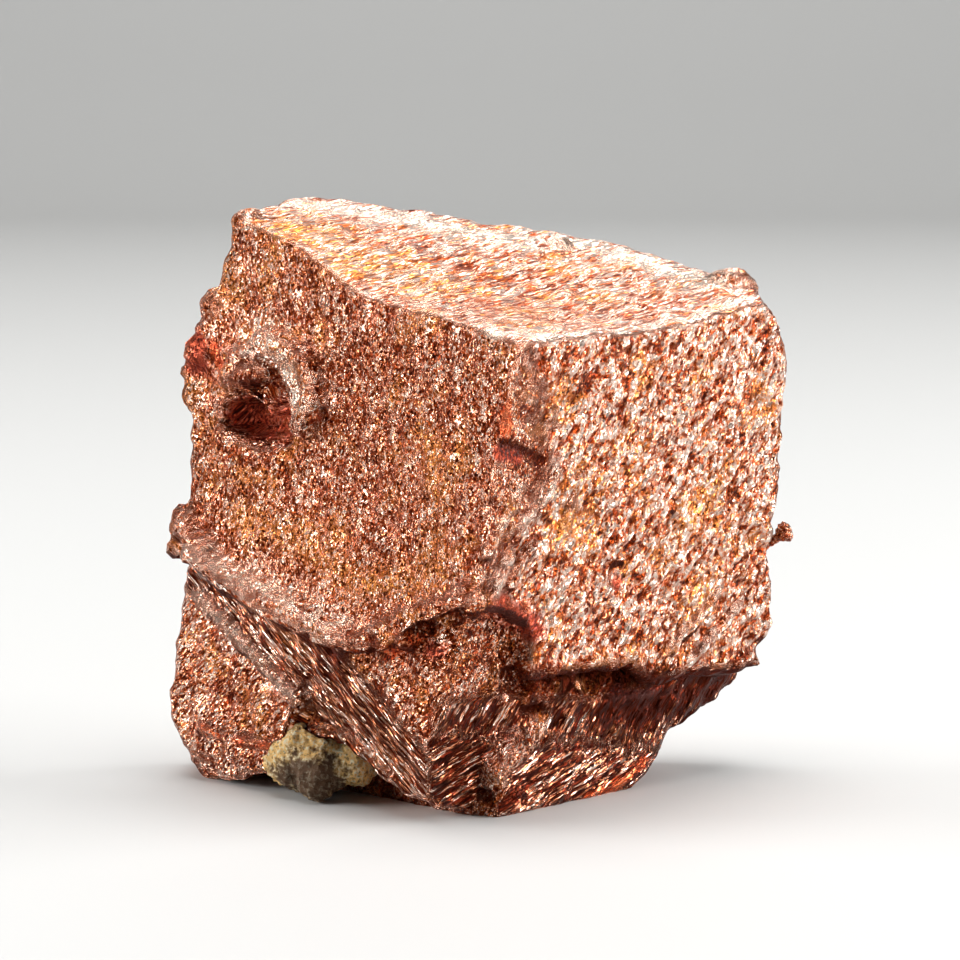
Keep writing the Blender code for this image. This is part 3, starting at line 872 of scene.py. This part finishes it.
class Nodes:
    """Builds one material's node tree."""

    def __init__(self, name):
        self.material = bpy.data.materials.new(name)
        self.material.use_nodes = True
        self.tree = self.material.node_tree
        self.shader = self.tree.nodes["Principled BSDF"]

    def link(self, socket, value):
        if isinstance(value, Socket):
            self.tree.links.new(value.output, socket)
        else:
            socket.default_value = value

    def add(self, kind, settings, *values, output=0, **named):
        """One node: its type, its settings, then its sockets by order or by name."""
        node = self.tree.nodes.new(kind)
        for setting, value in settings.items():
            setattr(node, setting, value)
        for socket, value in zip(node.inputs, values):
            self.link(socket, value)
        for socket, value in named.items():
            self.link(node.inputs[socket.replace("_", " ")], value)
        return Socket(self, node.outputs[output])

    def vector(self, operation, *values, output=0, **named):
        kind = "ShaderNodeVectorMath"
        return self.add(kind, {"operation": operation}, *values, output=output, **named)

    def place(self):
        """Where each spot of the piece is, in millimetres."""
        place = self.add("ShaderNodeTexCoord", {}, output="Object")
        return self.vector("SCALE", place, Scale=1.0 / MILLIMETRE)

    def attribute(self, name, output="Fac"):
        return self.add("ShaderNodeAttribute", {"attribute_name": name}, output=output)

    def noise(self, place, scale, detail, roughness, output="Fac"):
        sizes = {"Scale": scale, "Detail": detail, "Roughness": roughness}
        return self.add("ShaderNodeTexNoise", {}, Vector=place, output=output, **sizes)

    def cells(self, place, scale, feature="F1"):
        settings = {"feature": feature}
        return self.add("ShaderNodeTexVoronoi", settings, Vector=place, Scale=scale, output="Distance")

    def facets(self, place):
        """Grains that each lean their own way: their height, and a number for each grain."""
        node = self.tree.nodes.new("ShaderNodeTexVoronoi")
        self.link(node.inputs["Vector"], place)
        node.inputs["Scale"].default_value = 1.0
        own = Socket(self, node.outputs["Color"])
        middle = Socket(self, node.outputs["Position"])
        leaning = self.vector("SUBTRACT", own, (0.5, 0.5, 0.5))
        from_middle = self.vector("SUBTRACT", place, middle)
        height = self.vector("DOT_PRODUCT", leaning, from_middle, output="Value")
        return height, self.add("ShaderNodeSeparateColor", {}, own, output="Red")

    def bump(self, height, distance):
        """The skin's direction, tilted by a height of this many metres for each 1."""
        return self.add("ShaderNodeBump", {}, Strength=1.0, Distance=distance, Height=height)

    def mix(self, share, first, second):
        """A colour between two."""
        node = self.tree.nodes.new("ShaderNodeMix")
        node.data_type = "RGBA"
        for name, value in (("Factor_Float", share), ("A_Color", first), ("B_Color", second)):
            socket = next(socket for socket in node.inputs if socket.identifier == name)
            painted = name != "Factor_Float" and not isinstance(value, Socket)
            self.link(socket, opaque(value) if painted else value)
        result = next(socket for socket in node.outputs if socket.identifier == "Result_Color")
        return Socket(self, result)

    def finish(self, colour, roughness, normal, metallic=0.0):
        for name, value in (
            ("Base Color", colour),
            ("Roughness", roughness),
            ("Metallic", metallic),
            ("Normal", normal),
        ):
            self.link(self.shader.inputs[name], value)
        return self.material


def opaque(colour):
    return (*colour[:3], 1.0)


# Patterns in the copper's material: noises by scale, detail and roughness, then the finer grains' scale
# and the clumps' scale, warp and outline.
CRUMB_NOISE = (0.75, 3.0, 0.62)
WARP_NOISE = (0.5, 2.0, 0.5)
PATCH_NOISE = (0.33, 3.0, 0.55)
BLOTCH_NOISE = (1.1, 3.0, 0.6)
FINER_GRAINS = 2.3
CLUMP_SCALE = 0.34
CLUMP_WARP = 2.2
CLUMP_OUTLINE = (0.03, 0.2)

# The painted shine that sets painted highlight and shade: each pattern's middle, its share, and its
# further share where the grains are clumped.
AVERAGE_SHINE = 0.5
SHINE = {
    "crumbs": (0.5, 0.5, 0.0),
    "chance": (0.5, 0.42, -0.18),
    "small_chance": (0.5, 0.3, 0.0),
    "blotches": (0.5, 0.1, 0.35),
    "outline": (0.3, 0.0, -0.17),
    "raised": (0.0, 0.05, 0.07),
    "shining": (0.0, 1.0, 0.0),
    # The painted highlight along rims raises the shine.
    "pale": (0.0, 0.2, 0.0),
    # The painted shade under ledges lowers the shine.
    "dull": (0.0, -0.22, 0.0),
}

# The painted shine at which a spot stops getting the painted shade of a hollow, is painted lit, and gets a
# painted glint.
NO_HOLLOW = (0.28, 0.36)
LIT = (0.44, 0.54)
GLINT = (0.54, 0.68)

# Where a tint begins and is full, how ragged its edge is, and how much of the copper it covers.
RUST = (0.35, 0.75, 0.8, 0.8)
CUPRITE = (0.3, 0.8, 0.8, 0.92)
# The last is the painted shade under ledges and in grooves.
PAINTED_SHADE_TINT = (0.3, 0.8, 0.64, 0.85)


def copper_patterns(nodes):
    """What the mesh carries for each spot of the copper, and the patterns on it, by name."""
    names = ("grain_size", "raised", *STORED_LOOKS, *TINTS)
    skin = SimpleNamespace(**{name: nodes.attribute(name) for name in names})
    place = nodes.place()
    flow = nodes.attribute("lineation", "Vector")
    along = nodes.vector("DOT_PRODUCT", place, flow, output="Value")
    drawn = nodes.vector("SUBTRACT", place, nodes.vector("SCALE", flow, Scale=along))
    grained = nodes.vector("SCALE", drawn, Scale=1.0 / skin.grain_size)
    finer = nodes.vector("SCALE", grained, Scale=FINER_GRAINS)
    skin.tilt, skin.chance = nodes.facets(grained)
    skin.small_tilt, skin.small_chance = nodes.facets(finer)
    skin.crumbs = nodes.noise(grained, *CRUMB_NOISE)
    skin.patches = nodes.noise(place, *PATCH_NOISE)
    skin.blotches = nodes.noise(place, *BLOTCH_NOISE)
    warp = nodes.noise(grained, *WARP_NOISE, output="Color")
    warped = nodes.vector("ADD", grained, nodes.vector("SCALE", warp, Scale=CLUMP_WARP))
    clumps = nodes.cells(warped, CLUMP_SCALE, "DISTANCE_TO_EDGE")
    skin.outline = 1.0 - clumps.between(*CLUMP_OUTLINE)
    return skin


def add_shine(skin):
    """How brightly each spot is painted, and from that whether it gets the painted shade of a hollow, the
    lit copper, or a painted glint.
    """
    skin.shine = AVERAGE_SHINE
    for name, (middle, share, clumped_share) in SHINE.items():
        counted = getattr(skin, name) - middle
        skin.shine = skin.shine + counted * (share + skin.clumping * clumped_share)
    skin.hollow = 1.0 - skin.shine.between(*NO_HOLLOW)
    skin.lit = skin.shine.between(*LIT)
    skin.glint = skin.shine.between(*GLINT)


def tint(skin, name, start, full, raggedness, cover):
    ragged = (skin.blotches - 0.5) * raggedness
    return (getattr(skin, name) + ragged).between(start, full) * cover


def add_tarnish(skin):
    """How strong the golden and the red tarnish are, the rust and cuprite along routes, and the painted
    shade along routes.
    """
    golden = skin.patches.between(0.5, 0.66) * 0.4 + skin.golden * 0.5
    skin.golden_tarnish = golden * (1.0 - skin.glint * 0.8) * (1.0 - skin.darkness)
    blotched = skin.blotches.between(0.45, 0.62) * skin.redness
    skin.red_tarnish = (blotched + (AVERAGE_SHINE - skin.shine) * 0.5).between(0.15, 0.9)
    skin.rusty = tint(skin, "rust", *RUST)
    skin.ruby = tint(skin, "cuprite", *CUPRITE)
    skin.dim = tint(skin, "dull", *PAINTED_SHADE_TINT) * (1.0 - skin.glint)


def copper_colour(nodes, skin, settings):
    """Painted shade in the hollows, copper grains and painted highlights on their tops, and the tarnish
    over them.
    """
    # Painted shade: spots that are not lit get a shaded copper, darker still on faces with more face
    # shade.
    deep = nodes.mix(skin.darkness, settings.shaded_copper, settings.deepest_shade_copper)
    colour = nodes.mix(skin.lit, deep, settings.copper)
    # Painted highlight: glints get a pale copper.
    colour = nodes.mix(skin.glint * skin.paleness, colour, settings.glint_highlight_copper)
    # Painted highlight along rims and crests, in a paler copper.
    colour = nodes.mix(skin.glint * skin.pale * 0.7, colour, settings.painted_highlight_copper)
    colour = nodes.mix(skin.golden_tarnish, colour, settings.golden_tint)
    # The red tarnish and rust are real; their brighter and darker tones follow the painted lit mask.
    red = nodes.mix(skin.lit, settings.dark_red, settings.bright_red)
    rust = nodes.mix(skin.lit, settings.bright_red, settings.rust_tint)
    colour = nodes.mix(skin.red_tarnish, colour, red)
    colour = nodes.mix(skin.rusty, colour, rust)
    colour = nodes.mix(skin.ruby, colour, red)
    # Painted shade under the ledges and in grooves, in the darkest copper.
    colour = nodes.mix(skin.dim, colour, settings.deepest_shade_copper)
    # Painted shade in the hollows between grains, in the darkest copper.
    return nodes.mix(skin.hollow, colour, settings.deepest_shade_copper)


def copper_material(settings):
    """Etched copper: tilted grains, painted highlights on their tops and painted shade in their hollows,
    golden patches, dark red tarnish.
    """
    nodes = Nodes("etched_copper")
    skin = copper_patterns(nodes)
    add_shine(skin)
    add_tarnish(skin)
    colour = copper_colour(nodes, skin, settings)
    cuprite = skin.ruby / CUPRITE[-1]
    tarnish = skin.red_tarnish + (1.0 - skin.lit) + skin.dull + cuprite
    roughness = 0.2 + skin.clumping * skin.lit * 0.08 + tarnish * 0.1
    metallic = 1.0 - skin.clumping * skin.glint * 0.15 - cuprite * (1.0 - skin.glint) * 0.35
    height = skin.tilt + skin.small_tilt * 0.6 + skin.crumbs * 0.3
    bump = nodes.bump(height, skin.grain_size * MILLIMETRE * settings.grain_depth)
    return nodes.finish(colour, roughness, bump, metallic)


# The rock's noises by scale, detail and roughness, how fast its dark part ends along X, Y and Z, and the
# relief of its material in metres.
COARSE_NOISE = (0.8, 4.0, 0.6)
FINE_NOISE = (3.2, 5.0, 0.7)
DARK_FADE = (0.36, 0.0, 0.5)
ROCK_RELIEF = 0.0006


def matrix_material(settings):
    """Crumbly rock: pale yellow, dark brown in its lower middle, with cream crumbs and dark specks."""
    nodes = Nodes("crumbly_matrix")
    place = nodes.place()
    from_dark = nodes.vector("SUBTRACT", place, settings.dark_place)
    distance = nodes.vector("LENGTH", nodes.vector("MULTIPLY", from_dark, DARK_FADE), output="Value")
    coarse = nodes.noise(place, *COARSE_NOISE)
    fine = nodes.noise(place, *FINE_NOISE)
    specks = nodes.cells(place, 2.6)
    upper = (distance + (coarse - 0.5) * 2.2).between(0.75, 1.2)
    colour = nodes.mix(upper, settings.dark_rock, settings.pale_rock)
    colour = nodes.mix(fine.between(0.5, 0.6) * (upper * 0.7 + 0.2), colour, settings.cream)
    colour = nodes.mix((1.0 - specks.between(0.1, 0.3)) * 0.7, colour, settings.dark_rock)
    colour = nodes.mix((1.0 - fine.between(0.36, 0.44)) * 0.8, colour, settings.dark_rock)
    height = coarse * 0.5 + fine * 0.9 + specks * 0.3
    return nodes.finish(colour, 0.8, nodes.bump(height, ROCK_RELIEF))


def colour_setting(name, description, default):
    return bpy.props.FloatVectorProperty(
        name=name, description=description, subtype="COLOR", default=default
    )


def power_setting(name, description, default):
    return bpy.props.FloatProperty(name=name, description=description, subtype="POWER", default=default)


class CrystalSettings(bpy.types.PropertyGroup):
    """Colours and relief of the copper."""

    # The copper is painted in tones: the lit copper, a shaded copy and a darkest copper for painted shade,
    # and paler coppers for painted highlights.
    copper: colour_setting("Copper", "Tops of the grains", (0.82, 0.30, 0.14))
    shaded_copper: colour_setting("Deep copper", "Hollows between the grains", (0.30, 0.038, 0.005))
    deepest_shade_copper: colour_setting("Dark copper", "Hollows on the darkest faces", (0.07, 0.009, 0.003))
    glint_highlight_copper: colour_setting("Pale copper", "Grain tops on the bright faces", (1.0, 0.77, 0.65))
    # Colour of the painted highlight along rims and crests.
    painted_highlight_copper: colour_setting("Painted rim highlight", "Highlight painted along rims and crests", (1.0, 0.86, 0.72))
    golden_tint: colour_setting("Golden tint", "Patches of thin tarnish", (0.95, 0.36, 0.08))
    # The red tarnish is real; its bright and dark reds are its painted lit and shaded tones.
    bright_red: colour_setting("Bright red", "Red tarnish where painted lit", (0.75, 0.10, 0.03))
    rust_tint: colour_setting("Rust", "Orange-red streaks", (0.95, 0.24, 0.08))
    dark_red: colour_setting("Dark red", "Red tarnish in hollows and painted shade", (0.26, 0.02, 0.008))
    grain_depth: bpy.props.FloatProperty(
        name="Grain depth", description="How steeply the grains lean", default=1.7, min=0.0
    )
    settling_rounds: bpy.props.IntProperty(
        name="Settling rounds", description="How often the net is evened out", default=5, min=0
    )


class MatrixSettings(bpy.types.PropertyGroup):
    """Colours of the matrix rock."""

    pale_rock: colour_setting("Pale rock", "Upper part", (1.0, 0.62, 0.21))
    dark_rock: colour_setting("Dark rock", "Lower part and specks", (0.13, 0.06, 0.022))
    cream: colour_setting("Cream", "Crumbs that catch the light", (1.0, 0.9, 0.64))
    dark_place: bpy.props.FloatVectorProperty(
        name="Dark place",
        description="Middle of the dark part, in millimetres",
        subtype="XYZ",
        default=(-11.7, 0.0, 1.6),
    )


class StageSettings(bpy.types.PropertyGroup):
    """The floor and the light."""

    floor: colour_setting("Floor", "Colour of the floor", (0.55, 0.55, 0.54))
    world: bpy.props.FloatProperty(
        name="Room light", description="Light from all around", default=0.05, min=0.0
    )
    key: power_setting("Key light", "Power of the light at the right", 3.8)
    back: power_setting("Back light", "Power of the light behind", 0.28)
    fill: power_setting("Fill light", "Power of the light at the left", 2.6)
    overhead: power_setting("Overhead light", "Power of the light over the crystal", 6.0)


def build_crystal(settings):
    places, quads = box_net(COPPER_CUTS)
    points = pushed_out(copper_form, places, COPPER_NET, COPPER_CORE)
    points = settled(copper_form, points, quads, settings.settling_rounds)
    points[:, 2] = np.maximum(points[:, 2], 0.0)
    normals = unit(slope(copper_form, points)[1])
    weights = face_weights(points, normals)
    looks = skin_looks(weights)
    raised, height = etched(points, weights, looks)
    crystal = mesh_object("copper_skin", points + height[:, None] * normals, quads)
    values = {"raised": raised, "grain_size": looks["size"], "lineation": looks["lineation"]}
    values.update((name, looks[name]) for name in STORED_LOOKS)
    values.update((name, tinted(points, routes)) for name, routes in TINTS.items())
    # Painted shade on undersides near the ledge, on top of the painted shade along routes.
    underside = ramp(-normals[:, 2], *UNDERSIDE)
    near_ledge = ramp(points[:, 2], *SHADE_FROM) * ramp(points[:, 2], *SHADE_TO)
    values["dull"] = np.maximum(values["dull"], underside * near_ledge)
    for name, found in values.items():
        keep_values(crystal.data, name, found)
    crystal.data.materials.append(copper_material(settings))
    return crystal


def build_nub(settings):
    """The nub: a ring of points around each step of its path, its radius roughened by small cells."""
    steps = np.linspace(0.0, 1.0, NUB_RINGS)
    around = np.linspace(0.0, math.tau, NUB_SIDES, endpoint=False)
    knots = np.linspace(0.0, 1.0, len(NUB_PATH))
    middle = np.stack([np.interp(steps, knots, axis) for axis in np.array(NUB_PATH).T], axis=1)
    ends = np.sqrt(np.clip(1.0 - (2.0 * steps - 1.0) ** 8, 0.0, 1.0))
    radius = np.interp(steps, knots, NUB_RADII) * ends + 0.01
    along = unit(np.gradient(middle, axis=0))
    side = unit(np.cross(along, (0.0, 0.0, 1.0)))
    rise = np.cross(side, along)
    outward = side[:, None] * np.cos(around)[:, None] + rise[:, None] * np.sin(around)[:, None]
    points = (middle[:, None] + outward * radius[:, None, None]).reshape(-1, 3)
    size, height = NUB_CELLS
    rough = (0.5 - cells(points / size)) * height * np.repeat(radius, NUB_SIDES)
    points += outward.reshape(-1, 3) * rough[:, None]
    ring = np.arange(NUB_SIDES)
    after = np.roll(ring, -1)
    lower = np.arange(NUB_RINGS - 1)[:, None] * NUB_SIDES
    upper = lower + NUB_SIDES
    quads = np.stack((lower + ring, lower + after, upper + after, upper + ring), axis=2)
    caps = [ring[::-1].tolist(), (ring + (NUB_RINGS - 1) * NUB_SIDES).tolist()]
    nub = mesh_object("copper_nub", points, quads.reshape(-1, 4), caps)
    plain = LOOKS["plain"]
    keep_values(nub.data, "grain_size", np.full(len(points), plain.size))
    for name in STORED_LOOKS:
        keep_values(nub.data, name, np.full(len(points), getattr(plain, name)))
    nub.data.materials.append(copper_material(settings))
    return nub


def build_matrix(settings):
    places, quads = box_net(MATRIX_CUTS)
    points = pushed_out(matrix_form, places, MATRIX_NET, MATRIX_CORE)
    points = settled(matrix_form, points, quads, MATRIX_ROUNDS)
    normals = unit(slope(matrix_form, points)[1])
    points = points + grains(points, MATRIX_CRUMBS)[:, None] * normals
    points[:, 2] = np.maximum(points[:, 2], 0.0)
    rock = mesh_object("matrix_crumble", points, quads)
    rock.data.materials.append(matrix_material(settings))
    return rock


class COPPER_OT_crystal(bpy.types.Operator):
    """Makes the etched skin of the copper in place of its plain solid"""

    bl_idname = "copper.crystal"
    bl_label = "Copper crystal"

    def execute(self, context):
        crystal = build_crystal(context.scene.crystal_settings)
        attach(crystal, "root")
        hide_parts("copper_crystal")
        nub = build_nub(context.scene.crystal_settings)
        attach(nub, "root")
        return {"FINISHED"}


class COPPER_OT_matrix(bpy.types.Operator):
    """Makes the crumbly matrix rock in place of its plain solid"""

    bl_idname = "copper.matrix"
    bl_label = "Matrix rock"

    def execute(self, context):
        rock = build_matrix(context.scene.matrix_settings)
        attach(rock, "root")
        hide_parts("matrix_rock")
        return {"FINISHED"}


def build_floor(settings):
    """A level floor that rises behind in one bend: a straight, an arc and a straight, along X."""
    front, bend, depth, height, width = -1.5, 0.25, 0.55, 1.2, 2.5
    turn = np.linspace(0.0, math.pi / 2, 25)
    profile_y = np.concatenate(([front], depth + bend * np.sin(turn), [depth + bend]))
    profile_z = np.concatenate(([0.0], bend * (1.0 - np.cos(turn)), [height]))
    count = len(profile_y)
    left = np.stack((np.full(count, -width), profile_y, profile_z), axis=1)
    right = left * (-1.0, 1.0, 1.0)
    row = np.arange(count - 1)
    quads = np.stack((row, row + count, row + count + 1, row + 1), axis=1)
    mesh = bpy.data.meshes.new("floor")
    mesh.from_pydata(np.concatenate((left, right)).tolist(), [], quads.tolist())
    mesh.shade_smooth()
    floor = linked("floor", mesh)
    nodes = Nodes("floor_paint")
    floor.data.materials.append(nodes.finish(opaque(settings.floor), 0.7, (0.0, 0.0, 0.0)))
    return floor


def aim(thing, target):
    x, y, z = np.array(target) - np.array(thing.location)
    thing.rotation_euler = (math.atan2(math.hypot(x, y), -z), 0.0, math.atan2(-x, y))


def area_light(name, azimuth, elevation, distance, width, height, power):
    """A soft light, placed by its direction from the crystal."""
    lamp = bpy.data.lights.new(name, "AREA")
    lamp.shape = "RECTANGLE"
    lamp.size, lamp.size_y = width, height
    lamp.energy = power
    light = linked(name, lamp)
    light.location = looks_along(azimuth, elevation) * distance + (0.0, 0.0, AIM_HEIGHT)
    aim(light, (0.0, 0.0, AIM_HEIGHT))


def build_camera():
    lens = bpy.data.cameras.new("camera")
    lens.lens = LENS
    lens.sensor_width = SENSOR
    lens.clip_start = 0.01
    camera = linked("camera", lens)
    target = np.array((0.0, 0.0, AIM_HEIGHT)) - BOX_MIDDLE * MILLIMETRE
    camera.location = target + looks_along(0.0, math.degrees(CAMERA_ELEVATION)) * CAMERA_DISTANCE
    camera.rotation_euler = (math.pi / 2 - CAMERA_ELEVATION, 0.0, 0.0)
    bpy.context.scene.camera = camera


class COPPER_OT_stage(bpy.types.Operator):
    """Makes the floor, the lights and the camera"""

    bl_idname = "copper.stage"
    bl_label = "Stage"

    def execute(self, context):
        settings = context.scene.stage_settings
        build_floor(settings)
        world = bpy.data.worlds.new("room")
        world.use_nodes = True
        background = world.node_tree.nodes["Background"]
        background.inputs["Color"].default_value = (1.0, 1.0, 1.0, 1.0)
        background.inputs["Strength"].default_value = settings.world
        context.scene.world = world
        for name, placing in LIGHTS.items():
            area_light(name, *placing, getattr(settings, name))
        build_camera()
        context.scene.view_settings.view_transform = "Standard"
        return {"FINISHED"}


class COPPER_PT_panel(bpy.types.Panel):
    """Lists the pieces of the crystal and their settings"""

    bl_idname = "COPPER_PT_panel"
    bl_label = "Copper crystal"
    bl_space_type = "VIEW_3D"
    bl_region_type = "UI"
    bl_category = "Copper crystal"

    def draw(self, context):
        for operator, settings in PANEL_ROWS:
            self.layout.operator(operator)
            group = getattr(context.scene, settings)
            for name in group.bl_rna.properties.keys():
                if name not in ("rna_type", "name"):
                    self.layout.prop(group, name)


PANEL_ROWS = (
    ("copper.crystal", "crystal_settings"),
    ("copper.matrix", "matrix_settings"),
    ("copper.stage", "stage_settings"),
)
SETTINGS = {
    "crystal_settings": CrystalSettings,
    "matrix_settings": MatrixSettings,
    "stage_settings": StageSettings,
}
CLASSES = (*SETTINGS.values(), COPPER_OT_crystal, COPPER_OT_matrix, COPPER_OT_stage, COPPER_PT_panel)


def register():
    for shown in CLASSES:
        bpy.utils.register_class(shown)
    for name, group in SETTINGS.items():
        setattr(bpy.types.Scene, name, bpy.props.PointerProperty(type=group))


def unregister():
    for name in SETTINGS:
        delattr(bpy.types.Scene, name)
    for shown in reversed(CLASSES):
        bpy.utils.unregister_class(shown)


def main():
    register()
    bpy.ops.copper.stage()
    bpy.ops.copper.crystal()
    bpy.ops.copper.matrix()


if __name__ == "__main__":
    main()
